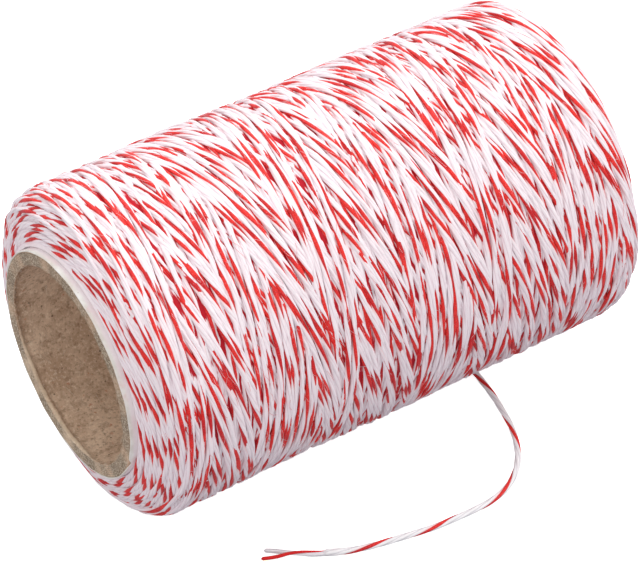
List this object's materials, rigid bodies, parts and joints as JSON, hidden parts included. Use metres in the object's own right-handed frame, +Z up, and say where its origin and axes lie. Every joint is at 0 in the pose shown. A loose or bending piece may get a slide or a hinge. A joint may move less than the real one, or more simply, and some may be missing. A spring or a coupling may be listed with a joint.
{
  "type": "roll of butchers twine",
  "caption": "Roll of striped kitchen twine wound in crossing bands on an open board core, lying on its side with a loose end.",
  "frame": {"origin": "on the surface the roll lies on, under the middle of the roll", "axes": "X along the roll's axis, -X towards the near rim in the picture, +Z up, -Y the side the loose end lies on"},
  "size_m": [0.139, 0.0998, 0.0822],
  "materials": {
    "kraft_board": "raw spiral-wound kraft board",
    "white_paper": "matt white paper",
    "wound_twine": "soft cotton twine, one red ply and three white",
    "twisted_twine": "soft cotton twine, one red ply and three white",
    "red_ply": "soft red cotton ply",
    "white_plies": "soft white cotton plies"
  },
  "bodies": {
    "root": {"core_tube": "kraft_board", "core_wrap": "white_paper", "winding": "wound_twine", "loose_end": "twisted_twine", "loose_ply_red": "red_ply", "loose_plies_white": "white_plies"}
  },
  "joints": []
}
